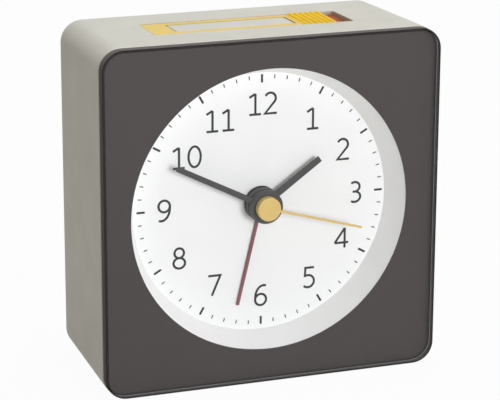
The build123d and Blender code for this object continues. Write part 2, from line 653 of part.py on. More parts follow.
# Movement housing: an open box behind the front plate, with the battery bay under the train
with BuildPart() as movement_housing:
    block(
        (-MOVEMENT_WIDTH / 2, PLATE_BACK, MOVEMENT_BOTTOM),
        (MOVEMENT_WIDTH / 2, HOUSING_BACK, MOVEMENT_TOP),
    )
    block(
        (-BAY_HALF, PLATE_BACK, PARTITION_TOP),
        (BAY_HALF, HOUSING_INSIDE, MOVEMENT_TOP - HOUSING_WALL),
        Mode.SUBTRACT,
    )
    block((-BAY_HALF, PLATE_BACK, BAY_BOTTOM), (BAY_HALF, HOUSING_BACK, BAY_TOP), Mode.SUBTRACT)
    with BuildSketch(at_depth(PLATE_BACK)):
        add(ear_outline())
    extrude(amount=-PLATE)
    for pillar in PILLARS:
        disc(PILLAR_RADIUS, MIDDLE_BACK, HOUSING_INSIDE, pillar)
    for place in COIL_ENDS:
        disc(SUPPORT_RADIUS, STATOR_BACK, HOUSING_INSIDE, place)
    for place in BOARD_SUPPORTS:
        disc(SUPPORT_RADIUS, BOARD_BACK, HOUSING_INSIDE, place)
    for arbor in (AXIS, THIRD_ARBOR, INTERMEDIATE_ARBOR, ROTOR_ARBOR):
        disc(ARBOR_RADIUS + RUNNING_GAP, HOUSING_INSIDE, PIVOT_END, arbor, Mode.SUBTRACT)
    for arbor in (MINUTE_ARBOR, ALARM_ARBOR):
        disc(SHAFT_RADIUS + RUNNING_GAP, HOUSING_INSIDE, HOUSING_BACK, arbor, Mode.SUBTRACT)
    for ear in EARS:
        disc(SCREW_RADIUS + SEAT_GAP, PLATE_BACK, PLATE_BACK + PLATE, ear, Mode.SUBTRACT)
movement_housing.part.label = "movement_housing"
export_step(movement_housing.part, "parts/movement_housing.step")

# Screws: four through the ears into the ring's posts, four through the rear cover into the case's bosses
with BuildPart() as movement_screws:
    for ear in EARS:
        add(screw(PLATE_BACK + PLATE + SCREW_HEAD, DIAL_BACK - SCREW_GRIP / 2 + SEAT_GAP, ear))
movement_screws.part.label = "movement_screws"
export_step(movement_screws.part, "parts/movement_screws.step")

with BuildPart() as rear_screws:
    for boss in BOSSES:
        add(screw(BACK, COVER_FRONT - SCREW_GRIP + SEAT_GAP, boss))
rear_screws.part.label = "rear_screws"
export_step(rear_screws.part, "parts/rear_screws.step")

# Second wheel: long arbor to the hand's cap, wheel and pinion
with BuildPart() as second_wheel:
    disc(ARBOR_RADIUS, SECOND_CAP_FRONT + CAP_FACE, ARBOR_END)
    driven_teeth(
        SECOND_TEETH,
        AXIS,
        INTERMEDIATE_PINION,
        INTERMEDIATE_ARBOR,
        TRAIN_DISTANCE,
        SECOND_LAYER,
        SECOND_LAYER + WHEEL,
    )
    driving_teeth(
        SECOND_PINION,
        AXIS,
        THIRD_TEETH,
        THIRD_ARBOR,
        TRAIN_DISTANCE,
        THIRD_LAYER - PINION_OVERHANG,
        SECOND_LAYER,
    )
second_wheel.part.label = "second_wheel"
export_step(second_wheel.part, "parts/second_wheel.step")

# Third wheel: between the second pinion and the centre wheel
with BuildPart() as third_wheel:
    disc(ARBOR_RADIUS, MIDDLE_FRONT, ARBOR_END, THIRD_ARBOR)
    driven_teeth(
        THIRD_TEETH,
        THIRD_ARBOR,
        SECOND_PINION,
        AXIS,
        TRAIN_DISTANCE,
        THIRD_LAYER,
        THIRD_LAYER + WHEEL,
    )
    driving_teeth(
        THIRD_PINION,
        THIRD_ARBOR,
        CENTRE_TEETH,
        AXIS,
        TRAIN_DISTANCE,
        CENTRE_LAYER - PINION_OVERHANG,
        THIRD_LAYER,
    )
third_wheel.part.label = "third_wheel"
export_step(third_wheel.part, "parts/third_wheel.step")

# Centre wheel: turns the cannon pinion by friction
with BuildPart() as centre_wheel:
    driven_teeth(
        CENTRE_TEETH,
        AXIS,
        THIRD_PINION,
        THIRD_ARBOR,
        TRAIN_DISTANCE,
        CENTRE_LAYER,
        CENTRE_LAYER + WHEEL,
    )
    disc(MINUTE_TUBE + RUNNING_GAP, CENTRE_LAYER, CENTRE_LAYER + WHEEL, mode=Mode.SUBTRACT)
centre_wheel.part.label = "centre_wheel"
export_step(centre_wheel.part, "parts/centre_wheel.step")

# Intermediate wheel: from the rotor to the second wheel
with BuildPart() as intermediate_wheel:
    disc(ARBOR_RADIUS, MIDDLE_FRONT, ARBOR_END, INTERMEDIATE_ARBOR)
    driven_teeth(
        INTERMEDIATE_TEETH,
        INTERMEDIATE_ARBOR,
        ROTOR_PINION,
        ROTOR_ARBOR,
        ROTOR_DISTANCE,
        INTERMEDIATE_LAYER,
        INTERMEDIATE_LAYER + WHEEL,
    )
    driving_teeth(
        INTERMEDIATE_PINION,
        INTERMEDIATE_ARBOR,
        SECOND_TEETH,
        AXIS,
        TRAIN_DISTANCE,
        SECOND_LAYER - PINION_OVERHANG,
        INTERMEDIATE_LAYER,
    )
intermediate_wheel.part.label = "intermediate_wheel"
export_step(intermediate_wheel.part, "parts/intermediate_wheel.step")

# Motor rotor: a round magnet with its pinion
with BuildPart() as motor_rotor:
    disc(ARBOR_RADIUS, MIDDLE_FRONT, ARBOR_END, ROTOR_ARBOR)
    disc(MAGNET_RADIUS, MAGNET_FRONT, MAGNET_FRONT + MAGNET, ROTOR_ARBOR)
    driving_teeth(
        ROTOR_PINION,
        ROTOR_ARBOR,
        INTERMEDIATE_TEETH,
        INTERMEDIATE_ARBOR,
        ROTOR_DISTANCE,
        INTERMEDIATE_LAYER - PINION_OVERHANG,
        MAGNET_FRONT,
    )
motor_rotor.part.label = "motor_rotor"
export_step(motor_rotor.part, "parts/motor_rotor.step")

# Cannon pinion: the minute hand's tube, through the middle plate to the centre wheel
with BuildPart() as cannon_pinion:
    disc(MINUTE_TUBE, MINUTE_BOSS_FRONT, CENTRE_LAYER + WHEEL)
    driving_teeth(
        CANNON_TEETH,
        AXIS,
        MINUTE_TEETH,
        MINUTE_ARBOR,
        MOTION_DISTANCE,
        MINUTE_LAYER,
        MINUTE_LAYER + WHEEL + PINION_OVERHANG,
    )
    disc(ARBOR_RADIUS + RUNNING_GAP, MINUTE_BOSS_FRONT, CENTRE_LAYER + WHEEL, mode=Mode.SUBTRACT)
cannon_pinion.part.label = "cannon_pinion"
export_step(cannon_pinion.part, "parts/cannon_pinion.step")

# Minute wheel: its shaft runs out at the back to the time knob
with BuildPart() as minute_wheel:
    disc(ARBOR_RADIUS, DIAL_BACK, HOUR_LAYER, MINUTE_ARBOR)
    disc(SHAFT_RADIUS, HOUR_LAYER, KNOB_FRONT + KNOB_BORE, MINUTE_ARBOR)
    driven_teeth(
        MINUTE_TEETH, MINUTE_ARBOR, CANNON_TEETH, AXIS, MOTION_DISTANCE, MINUTE_LAYER, MINUTE_LAYER + WHEEL
    )
    driving_teeth(
        MINUTE_PINION, MINUTE_ARBOR, HOUR_TEETH, AXIS, MOTION_DISTANCE, HOUR_LAYER - RUNNING_GAP, MINUTE_LAYER
    )
minute_wheel.part.label = "minute_wheel"
export_step(minute_wheel.part, "parts/minute_wheel.step")

# Hour wheel: the hour hand's tube
with BuildPart() as hour_wheel:
    disc(HOUR_TUBE, HOUR_BOSS_FRONT, HOUR_LAYER)
    driven_teeth(
        HOUR_TEETH, AXIS, MINUTE_PINION, MINUTE_ARBOR, MOTION_DISTANCE, HOUR_LAYER, HOUR_LAYER + WHEEL
    )
    disc(MINUTE_TUBE + RUNNING_GAP, HOUR_BOSS_FRONT, HOUR_LAYER + WHEEL, mode=Mode.SUBTRACT)
hour_wheel.part.label = "hour_wheel"
export_step(hour_wheel.part, "parts/hour_wheel.step")

# Alarm wheel: the alarm hand's tube
with BuildPart() as alarm_wheel:
    disc(ALARM_TUBE, ALARM_BOSS_FRONT, ALARM_LAYER)
    driven_teeth(
        ALARM_TEETH, AXIS, ALARM_SETTING_TEETH, ALARM_ARBOR, MOTION_DISTANCE, ALARM_LAYER, ALARM_LAYER + WHEEL
    )
    disc(HOUR_TUBE + RUNNING_GAP, ALARM_BOSS_FRONT, ALARM_LAYER + WHEEL, mode=Mode.SUBTRACT)
alarm_wheel.part.label = "alarm_wheel"
export_step(alarm_wheel.part, "parts/alarm_wheel.step")

# Alarm setting wheel: its shaft runs out at the back to the alarm knob
with BuildPart() as alarm_setting_wheel:
    disc(ARBOR_RADIUS, DIAL_BACK, ALARM_LAYER, ALARM_ARBOR)
    disc(SHAFT_RADIUS, ALARM_LAYER, KNOB_FRONT + KNOB_BORE, ALARM_ARBOR)
    driving_teeth(
        ALARM_SETTING_TEETH, ALARM_ARBOR, ALARM_TEETH, AXIS, MOTION_DISTANCE, ALARM_LAYER, ALARM_LAYER + WHEEL
    )
alarm_setting_wheel.part.label = "alarm_setting_wheel"
export_step(alarm_setting_wheel.part, "parts/alarm_setting_wheel.step")

# Hands
with BuildPart() as alarm_hand:
    disc(ALARM_BOSS_RADIUS, ALARM_BOSS_FRONT, ALARM_BOSS_BACK)
    with BuildSketch(hand_plane(ALARM_BOSS_BACK - BLADE, ALARM_ANGLE)):
        add(blade_outline(ALARM_TIP_GAP, ALARM_WIDTH))
    extrude(amount=-BLADE)
    disc(ALARM_TUBE, ALARM_BOSS_FRONT, ALARM_BOSS_BACK, mode=Mode.SUBTRACT)
alarm_hand.part.label = "alarm_hand"
export_step(alarm_hand.part, "parts/alarm_hand.step")

with BuildPart() as hour_hand:
    disc(HOUR_BOSS_RADIUS, HOUR_BOSS_FRONT, HOUR_BOSS_BACK)
    with BuildSketch(hand_plane((HOUR_BOSS_FRONT + HOUR_BOSS_BACK - BLADE) / 2, HOUR_ANGLE)):
        add(blade_outline(HOUR_TIP_GAP, HOUR_WIDTH))
    extrude(amount=-BLADE)
    disc(HOUR_TUBE, HOUR_BOSS_FRONT, HOUR_BOSS_BACK, mode=Mode.SUBTRACT)
hour_hand.part.label = "hour_hand"
export_step(hour_hand.part, "parts/hour_hand.step")

with BuildPart() as minute_hand:
    disc(MINUTE_BOSS_RADIUS, MINUTE_BOSS_FRONT, MINUTE_BOSS_BACK)
    with BuildSketch(hand_plane((MINUTE_BOSS_FRONT + MINUTE_BOSS_BACK - BLADE) / 2, MINUTE_ANGLE)):
        add(blade_outline(MINUTE_TIP_GAP, MINUTE_WIDTH))
    extrude(amount=-BLADE)
    disc(MINUTE_TUBE, MINUTE_BOSS_FRONT, MINUTE_BOSS_BACK, mode=Mode.SUBTRACT)
minute_hand.part.label = "minute_hand"
export_step(minute_hand.part, "parts/minute_hand.step")

with BuildPart() as second_hand:
    disc(SECOND_CAP_RADIUS, SECOND_CAP_FRONT, SECOND_CAP_BACK)
    fillet(second_hand.faces().sort_by(Axis.Y)[0].edges(), CAP_EDGE_RADIUS)
    with BuildSketch(hand_plane((SECOND_CAP_FRONT + SECOND_CAP_BACK - BLADE) / 2, SECOND_ANGLE)):
        add(blade_outline(SECOND_TIP_GAP, SECOND_WIDTH))
    extrude(amount=-BLADE)
    disc(ARBOR_RADIUS, SECOND_CAP_FRONT + CAP_FACE, SECOND_CAP_BACK, mode=Mode.SUBTRACT)
second_hand.part.label = "second_hand"
export_step(second_hand.part, "parts/second_hand.step")

# Knobs on the two setting shafts
with BuildPart() as time_knob:
    add(knob(MINUTE_ARBOR))
time_knob.part.label = "time_knob"
export_step(time_knob.part, "parts/time_knob.step")

with BuildPart() as alarm_knob:
    add(knob(ALARM_ARBOR))
alarm_knob.part.label = "alarm_knob"
export_step(alarm_knob.part, "parts/alarm_knob.step")

# Motor stator: a bar through the coil and two bent legs to the eye round the magnet
with BuildPart() as motor_stator:
    with BuildSketch(at_depth(STATOR_FRONT)):
        with BuildLine():
            Polyline(ROTOR_ARBOR, LEFT_KNEE, *COIL_ENDS, RIGHT_KNEE, close=True)
        trace(line_width=STATOR_BAR)
        with Locations(ROTOR_ARBOR):
            Circle(MAGNET_RADIUS + AIR_GAP + STATOR_EYE)
            Circle(MAGNET_RADIUS + AIR_GAP, mode=Mode.SUBTRACT)
    extrude(amount=-STATOR)
motor_stator.part.label = "motor_stator"
export_step(motor_stator.part, "parts/motor_stator.step")

# Coil: a flanged bobbin on the stator's bar and its winding
with BuildPart() as coil_bobbin:
    with BuildSketch(Plane.YZ.offset(BOBBIN_LEFT)):
        add(coil_section(BOBBIN_WALL))
        add(coil_section(RUNNING_GAP), mode=Mode.SUBTRACT)
    extrude(amount=BOBBIN_RIGHT - BOBBIN_LEFT)
    for end in (BOBBIN_LEFT, BOBBIN_RIGHT - BOBBIN_FLANGE_THICKNESS):
        with BuildSketch(Plane.YZ.offset(end)):
            add(coil_section(BOBBIN_FLANGE))
            add(coil_section(RUNNING_GAP), mode=Mode.SUBTRACT)
        extrude(amount=BOBBIN_FLANGE_THICKNESS)
coil_bobbin.part.label = "coil_bobbin"
export_step(coil_bobbin.part, "parts/coil_bobbin.step")

with BuildPart() as coil_winding:
    with BuildSketch(Plane.YZ.offset(BOBBIN_LEFT + BOBBIN_FLANGE_THICKNESS)):
        add(coil_section(BOBBIN_WALL + WINDING))
        add(coil_section(BOBBIN_WALL), mode=Mode.SUBTRACT)
    extrude(amount=BOBBIN_RIGHT - BOBBIN_LEFT - 2 * BOBBIN_FLANGE_THICKNESS)
coil_winding.part.label = "coil_winding"
export_step(coil_winding.part, "parts/coil_winding.step")

# Circuit board on two supports, with the quartz crystal lying on it
with BuildPart() as circuit_board:
    block(
        (BOARD_LEFT, BOARD_BACK - BOARD, CENTRE + BOARD_LOW),
        (BOARD_LEFT + BOARD_WIDTH, BOARD_BACK, CENTRE + BOARD_LOW + BOARD_HEIGHT),
    )
circuit_board.part.label = "circuit_board"
export_step(circuit_board.part, "parts/circuit_board.step")

with BuildPart() as quartz_crystal:
    crystal_low = CENTRE + BOARD_LOW + (BOARD_HEIGHT - CRYSTAL_LENGTH) / 2
    with BuildSketch(Plane.XY.offset(crystal_low)):
        with Locations((BOARD_LEFT + BOARD_WIDTH / 2, BOARD_BACK - BOARD - CRYSTAL_RADIUS)):
            Circle(CRYSTAL_RADIUS)
    extrude(amount=CRYSTAL_LENGTH)
quartz_crystal.part.label = "quartz_crystal"
export_step(quartz_crystal.part, "parts/quartz_crystal.step")

# Battery across the foot of the movement, with a flat contact at its nub and a bowed spring at its base
with BuildPart() as battery:
    with BuildSketch(Plane.YZ.offset(BATTERY_LEFT)):
        with Locations((BATTERY_DEPTH, BATTERY_HEIGHT)):
            Circle(BATTERY_RADIUS)
    extrude(amount=BATTERY_LENGTH)
    with BuildSketch(Plane.YZ.offset(BATTERY_LEFT)):
        with Locations((BATTERY_DEPTH, BATTERY_HEIGHT)):
            Circle(NUB_RADIUS)
    extrude(amount=-NUB_LENGTH)
battery.part.label = "battery"
export_step(battery.part, "parts/battery.step")

with BuildPart() as battery_contact_positive:
    block(
        (-BAY_HALF, BATTERY_DEPTH - SPRING_SPAN / 2, BATTERY_HEIGHT - CONTACT_WIDTH / 2),
        (-BAY_HALF + CONTACT, BATTERY_DEPTH + SPRING_SPAN / 2, BATTERY_HEIGHT + CONTACT_WIDTH / 2),
    )
battery_contact_positive.part.label = "battery_contact_positive"
export_step(battery_contact_positive.part, "parts/battery_contact_positive.step")

with BuildPart() as battery_contact_negative:
    with BuildSketch(Plane.XY.offset(BATTERY_HEIGHT - CONTACT_WIDTH / 2)):
        with Locations((0, BATTERY_DEPTH)):
            with BuildLine():
                Polyline(
                    (BAY_HALF - CONTACT / 2, SPRING_SPAN / 2),
                    (BATTERY_LEFT + BATTERY_LENGTH + CONTACT / 2, SPRING_FLAT / 2),
                    (BATTERY_LEFT + BATTERY_LENGTH + CONTACT / 2, -SPRING_FLAT / 2),
                    (BAY_HALF - CONTACT / 2, -SPRING_SPAN / 2),
                    close=True,
                )
            trace(line_width=CONTACT)
    extrude(amount=CONTACT_WIDTH)
battery_contact_negative.part.label = "battery_contact_negative"
export_step(battery_contact_negative.part, "parts/battery_contact_negative.step")

# Rear cover: knob recess, battery well, sound slots and sunk screw holes
with BuildPart() as rear_cover:
    with BuildSketch(at_depth(COVER_FRONT)):
        with Locations((0, (COVER_TOP + COVER_BOTTOM) / 2)):
            RectangleRounded(2 * COVER_HALF, COVER_TOP - COVER_BOTTOM, CORNER_RADIUS - WALL - SEAT_GAP)
    extrude(amount=-COVER_THICKNESS)
    with BuildSketch(at_depth(TUB_FLOOR)):
        with Locations(TUB_CENTRE):
            SlotCenterToCenter(KNOB_SPACING, 2 * (TUB_RADIUS + TUB_WALL))
    extrude(amount=TUB_FLOOR - COVER_FRONT)
    with BuildSketch(at_depth(WELL_FRONT)):
        with Locations((0, BATTERY_HEIGHT)):
            Rectangle(MOVEMENT_WIDTH, WELL_HEIGHT + 2 * HOUSING_WALL)
    extrude(amount=WELL_FRONT - COVER_FRONT)
    with BuildSketch(at_depth(TUB_INSIDE)):
        with Locations(TUB_CENTRE):
            SlotCenterToCenter(KNOB_SPACING, 2 * TUB_RADIUS)
    extrude(amount=TUB_INSIDE - BACK, mode=Mode.SUBTRACT)
    with BuildSketch(at_depth(WELL_FRONT)):
        with Locations((0, BATTERY_HEIGHT)):
            Rectangle(2 * BAY_HALF, WELL_HEIGHT)
    extrude(amount=WELL_FRONT - BACK, mode=Mode.SUBTRACT)
    with BuildSketch(at_depth(DOOR_FRONT)):
        with Locations((0, BATTERY_HEIGHT)):
            RectangleRounded(MOVEMENT_WIDTH, WELL_HEIGHT + 2 * HOUSING_WALL, DOOR_CORNER)
    extrude(amount=DOOR_FRONT - BACK, mode=Mode.SUBTRACT)
    for arbor in (MINUTE_ARBOR, ALARM_ARBOR):
        disc(SHAFT_RADIUS + SHAFT_HOLE_GAP, TUB_FLOOR, TUB_INSIDE, arbor, Mode.SUBTRACT)
    for boss in BOSSES:
        disc(SCREW_RADIUS + SEAT_GAP, COVER_FRONT, BACK, boss, Mode.SUBTRACT)
        disc(SCREW_HEAD_RADIUS + SEAT_GAP, BACK - SCREW_HEAD, BACK, boss, Mode.SUBTRACT)
    with BuildSketch(at_depth(COVER_FRONT)):
        with Locations((0, CENTRE + BUZZER_UP)):
            with GridLocations(SOUND_SLOT_LENGTH, SOUND_SLOT_PITCH, 1, SOUND_SLOTS):
                SlotOverall(SOUND_SLOT_LENGTH, SOUND_SLOT_WIDTH)
    extrude(amount=-COVER_THICKNESS, mode=Mode.SUBTRACT)
rear_cover.part.label = "rear_cover"
export_step(rear_cover.part, "parts/rear_cover.step")

# Battery door: a lid flush with the cover, with a nail notch and two ribs that keep the battery down
with BuildPart() as battery_door:
    with BuildSketch(at_depth(DOOR_FRONT)):
        with Locations((0, BATTERY_HEIGHT)):
            RectangleRounded(
                MOVEMENT_WIDTH - 2 * SEAT_GAP,
                WELL_HEIGHT + 2 * (HOUSING_WALL - SEAT_GAP),
                DOOR_CORNER - SEAT_GAP,
            )
    extrude(amount=-DOOR_THICKNESS)
    for side in (-1, 1):
        x = side * DOOR_RIB_ACROSS
        rib_front = BATTERY_DEPTH + BATTERY_RADIUS + DOOR_RIB_GAP
        block(
            (x - DOOR_RIB / 2, rib_front, BATTERY_HEIGHT - DOOR_RIB_LENGTH / 2),
            (x + DOOR_RIB / 2, DOOR_FRONT, BATTERY_HEIGHT + DOOR_RIB_LENGTH / 2),
        )
    disc(NOTCH_RADIUS, BACK - NOTCH_DEPTH, BACK, (0, BAY_TOP + HOUSING_WALL), Mode.SUBTRACT)
battery_door.part.label = "battery_door"
export_step(battery_door.part, "parts/battery_door.step")

# Buzzer behind the sound slots
with BuildPart() as piezo_buzzer:
    disc(BUZZER_RADIUS, COVER_FRONT - BUZZER_THICKNESS, COVER_FRONT, (0, CENTRE + BUZZER_UP))
piezo_buzzer.part.label = "piezo_buzzer"
export_step(piezo_buzzer.part, "parts/piezo_buzzer.step")

# Inlay in the top slot: a plate with the button's window, and a low floor under the slider
with BuildPart() as top_inlay:
    block((SLOT_LEFT + SEAT_GAP, INLAY_FRONT, SLOT_FLOOR), (INLAY_RIGHT, INLAY_BACK, HEIGHT))
    cut_to_top(INLAY_SINK)
    block((INLAY_RIGHT, INLAY_FRONT, SLOT_FLOOR), (FLAG_LEFT - RUNNING_GAP, INLAY_BACK, FLOOR_TOP))
    block(
        (BUTTON_LEFT - BUTTON_GAP, BUTTON_FRONT - BUTTON_GAP, SLOT_FLOOR),
        (BUTTON_RIGHT + BUTTON_GAP, BUTTON_BACK + BUTTON_GAP, HEIGHT),
        Mode.SUBTRACT,
    )
    block((SLIT_LEFT, SLIT_FRONT, SLOT_FLOOR), (SLIT_RIGHT, SLIT_BACK, FLOOR_TOP), Mode.SUBTRACT)
top_inlay.part.label = "top_inlay"
export_step(top_inlay.part, "parts/top_inlay.step")

# Flag: the floor that the slider uncovers
with BuildPart() as alarm_flag:
    block((FLAG_LEFT, INLAY_FRONT, SLOT_FLOOR), (SLOT_RIGHT - SEAT_GAP, INLAY_BACK, FLOOR_TOP))
    block((SLIT_LEFT, SLIT_FRONT, SLOT_FLOOR), (SLIT_RIGHT, SLIT_BACK, FLOOR_TOP), Mode.SUBTRACT)
alarm_flag.part.label = "alarm_flag"
export_step(alarm_flag.part, "parts/alarm_flag.step")

# Slider: a grip with half-round ribs on a low bed, a flush strip at its left and a blade down into its switch
with BuildPart() as alarm_slider:
    grip_top = TOP_AT_SLOT + SLIDER_PROUD - SLIDER_RIB_RADIUS
    ribs_left = SLIDER_LEFT + SLIDER_STEP
    block((SLIDER_LEFT, SLIDER_FRONT, FLOOR_TOP + LIFT_GAP), (ribs_left, SLIDER_BACK, HEIGHT))
    cut_to_top(INLAY_SINK)
    block((ribs_left, SLIDER_FRONT, FLOOR_TOP + LIFT_GAP), (SLIDER_RIGHT, SLIDER_BACK, grip_top))
    rib_pitch = (SLIDER_RIGHT - ribs_left) / SLIDER_RIBS
    with BuildSketch(at_depth(SLIDER_FRONT)):
        with Locations(((ribs_left + SLIDER_RIGHT) / 2, grip_top)):
            with GridLocations(rib_pitch, 0, SLIDER_RIBS, 1):
                Circle(SLIDER_RIB_RADIUS)
        split(bisect_by=Plane.XZ.offset(-grip_top), keep=Keep.BOTTOM)
    extrude(amount=SLIDER_FRONT - SLIDER_BACK)
    block(
        (BLADE_LEFT, BLADE_FRONT, SWITCH_TOP - SWITCH_REACH),
        (BLADE_LEFT + BLADE_THICKNESS, BLADE_BACK, FLOOR_TOP + LIFT_GAP),
    )
alarm_slider.part.label = "alarm_slider"
export_step(alarm_slider.part, "parts/alarm_slider.step")

# Snooze button: a bar with a lip under the inlay and a stem on the plunger of its switch
with BuildPart() as snooze_button:
    lip_bottom = SLOT_FLOOR - LIFT_GAP - BUTTON_FLANGE
    block((BUTTON_LEFT, BUTTON_FRONT, lip_bottom), (BUTTON_RIGHT, BUTTON_BACK, HEIGHT))
    cut_to_top(BUTTON_SINK)
    fillet(snooze_button.faces().sort_by(Axis.Z)[-1].edges(), BUTTON_EDGE)
    block(
        (BUTTON_LEFT - BUTTON_LIP, BUTTON_FRONT - BUTTON_LIP, lip_bottom),
        (BUTTON_RIGHT + BUTTON_LIP, BUTTON_BACK + BUTTON_LIP, SLOT_FLOOR - LIFT_GAP),
    )
    with BuildSketch(Plane.XY.offset(SWITCH_TOP + PLUNGER_PROUD)):
        with Locations((BUTTON_MIDDLE, SLOT_MIDDLE)):
            Circle(PLUNGER_RADIUS)
    extrude(amount=lip_bottom - SWITCH_TOP - PLUNGER_PROUD)
snooze_button.part.label = "snooze_button"
export_step(snooze_button.part, "parts/snooze_button.step")

# Switch board under the top, with the push switch and the slide switch
with BuildPart() as switch_board:
    board_across = SWITCH_BOARD_LENGTH / 2
    board_deep = SWITCH_BOARD_WIDTH / 2
    block(
        (-board_across, -board_deep, SWITCH_BOARD_TOP - SWITCH_BOARD),
        (board_across, board_deep, SWITCH_BOARD_TOP),
    )
switch_board.part.label = "switch_board"
export_step(switch_board.part, "parts/switch_board.step")

with BuildPart() as tact_switch:
    block(
        (BUTTON_MIDDLE - TACT_SIZE / 2, SLOT_MIDDLE - TACT_SIZE / 2, SWITCH_BOARD_TOP),
        (BUTTON_MIDDLE + TACT_SIZE / 2, SLOT_MIDDLE + TACT_SIZE / 2, SWITCH_TOP),
    )
    with BuildSketch(Plane.XY.offset(SWITCH_TOP)):
        with Locations((BUTTON_MIDDLE, SLOT_MIDDLE)):
            Circle(PLUNGER_RADIUS + RUNNING_GAP)
    extrude(amount=-PLUNGER_SUNK - BUTTON_TRAVEL - SEAT_GAP, mode=Mode.SUBTRACT)
tact_switch.part.label = "tact_switch"
export_step(tact_switch.part, "parts/tact_switch.step")

with BuildPart() as tact_plunger:
    with BuildSketch(Plane.XY.offset(SWITCH_TOP - PLUNGER_SUNK)):
        with Locations((BUTTON_MIDDLE, SLOT_MIDDLE)):
            Circle(PLUNGER_RADIUS)
    extrude(amount=PLUNGER_SUNK + PLUNGER_PROUD)
tact_plunger.part.label = "tact_plunger"
export_step(tact_plunger.part, "parts/tact_plunger.step")

with BuildPart() as slide_switch:
    block(
        (SLIT_LEFT - SLIDE_SWITCH_WALL, SLOT_MIDDLE - SLIDE_SWITCH_WIDTH / 2, SWITCH_BOARD_TOP),
        (SLIT_RIGHT + SLIDE_SWITCH_WALL, SLOT_MIDDLE + SLIDE_SWITCH_WIDTH / 2, SWITCH_TOP),
    )
    block(
        (SLIT_LEFT, SLIT_FRONT, SWITCH_TOP - SWITCH_REACH - SEAT_GAP),
        (SLIT_RIGHT, SLIT_BACK, SWITCH_TOP),
        Mode.SUBTRACT,
    )
slide_switch.part.label = "slide_switch"
export_step(slide_switch.part, "parts/slide_switch.step")
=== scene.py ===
"""Looks of the square table alarm clock: materials, printed dial, light and camera."""

from math import cos, pi, radians, sin

import bmesh
import bpy
from mathutils import Matrix, Vector


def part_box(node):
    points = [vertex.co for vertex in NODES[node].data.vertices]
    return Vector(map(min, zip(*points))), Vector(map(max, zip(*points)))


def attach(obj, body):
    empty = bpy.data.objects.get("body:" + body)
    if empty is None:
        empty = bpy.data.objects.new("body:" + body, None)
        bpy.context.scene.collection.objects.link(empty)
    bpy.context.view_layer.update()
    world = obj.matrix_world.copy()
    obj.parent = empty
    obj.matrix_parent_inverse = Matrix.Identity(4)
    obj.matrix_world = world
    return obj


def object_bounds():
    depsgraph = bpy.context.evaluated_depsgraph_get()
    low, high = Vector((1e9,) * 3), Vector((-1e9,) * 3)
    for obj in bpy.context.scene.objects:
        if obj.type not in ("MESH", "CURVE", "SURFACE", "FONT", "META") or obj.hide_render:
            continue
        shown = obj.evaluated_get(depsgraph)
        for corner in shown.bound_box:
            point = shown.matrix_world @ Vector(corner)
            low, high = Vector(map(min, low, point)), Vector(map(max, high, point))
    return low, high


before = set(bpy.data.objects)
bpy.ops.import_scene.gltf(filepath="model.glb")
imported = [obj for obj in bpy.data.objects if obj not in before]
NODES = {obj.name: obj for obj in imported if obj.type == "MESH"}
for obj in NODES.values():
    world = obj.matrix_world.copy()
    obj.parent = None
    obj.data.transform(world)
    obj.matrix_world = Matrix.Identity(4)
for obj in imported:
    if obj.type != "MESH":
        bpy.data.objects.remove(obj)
CAD_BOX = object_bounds()
MM = 0.001
WHITE = (1.0, 1.0, 1.0, 1.0)

# Photograph's view
IMAGE_WIDTH = 500
SENSOR_WIDTH = 36.0
FOCAL_PIXELS = 2276.4
NEAREST_SEEN = 10 * MM
CAMERA_YAW = radians(19.70)
CAMERA_PITCH = radians(-16.73)
CAMERA_ROLL = radians(0.23)
CAMERA_DISTANCE = 458.0 * MM
CAMERA_TARGET = Vector((-5.4 * MM, CAD_BOX[0][1], 39.75 * MM))

# Printed dial, with each number's place right and up from the dial's middle in millimetres
INK_THICKNESS = 0.03 * MM
INK_SUNK = 0.01 * MM
INK_STEP = 0.002 * MM  # keeps the strokes of a digit in layers where they cross
NUMBER_HEIGHT = 4.8 * MM
NUMBER_STROKE = 0.48 * MM
DIGIT_PITCH = 3.45 * MM
NUMBER_PLACES = {
    1: (11.20, 16.95),
    2: (18.10, 9.80),
    3: (21.00, 0.25),
    4: (18.00, -9.55),
    5: (10.85, -17.45),
    6: (0.10, -20.20),
    7: (-10.10, -16.95),
    8: (-17.65, -10.25),
    9: (-20.80, 0.25),
    10: (-16.00, 11.05),
    11: (-8.85, 18.15),
    12: (0.35, 20.95),
}
ARC_STEP = radians(9)
LEAST_ARC_STEPS = 2
LEAST_MITRE = 0.5  # half the width over this is the furthest that a corner reaches
SAME_PLACE = 1e-7  # ends nearer than this close a line
HOUR_MARK = (25.08 * MM, 26.82 * MM, 0.45 * MM)  # inner end, outer end, width
MINUTE_MARK = (25.90 * MM, 26.70 * MM, 0.22 * MM)
SCALE_MIDDLE = Vector((0.15 * MM, 0.30 * MM))  # right and up from the dial's middle
MINUTES = 60
MINUTES_PER_HOUR_MARK = 5

# Surfaces
FIELD_LOW = 0.3  # usual range of a noise
FIELD_HIGH = 0.7
MOTTLE_SIZE = 9 * MM
GRAIN_DETAIL = 4.0
ROUGHNESS_SPREAD = 0.06
LINE_SIZE = 0.6 * MM
LINE_DETAIL = 3.0
LINE_DEPTH = 0.006 * MM
LINE_DARK = 0.88
LINE_LIGHT = 1.1
LINE_ROUGHNESS_SPREAD = 0.08
ALONG_X = (0.08, 1.0, 1.0)  # scale of the noise, small along the lines that it makes
ALONG_Y = (1.0, 0.08, 1.0)
ALONG_Z = (1.0, 1.0, 0.08)
ROUND_X = (1.0, 0.08, 0.08)


def srgb(red, green, blue):
    """Linear colour for a colour given as 0 to 255."""
    shares = [value / 255 for value in (red, green, blue)]
    return [s / 12.92 if s <= 0.04045 else ((s + 0.055) / 1.055) ** 2.4 for s in shares] + [1.0]


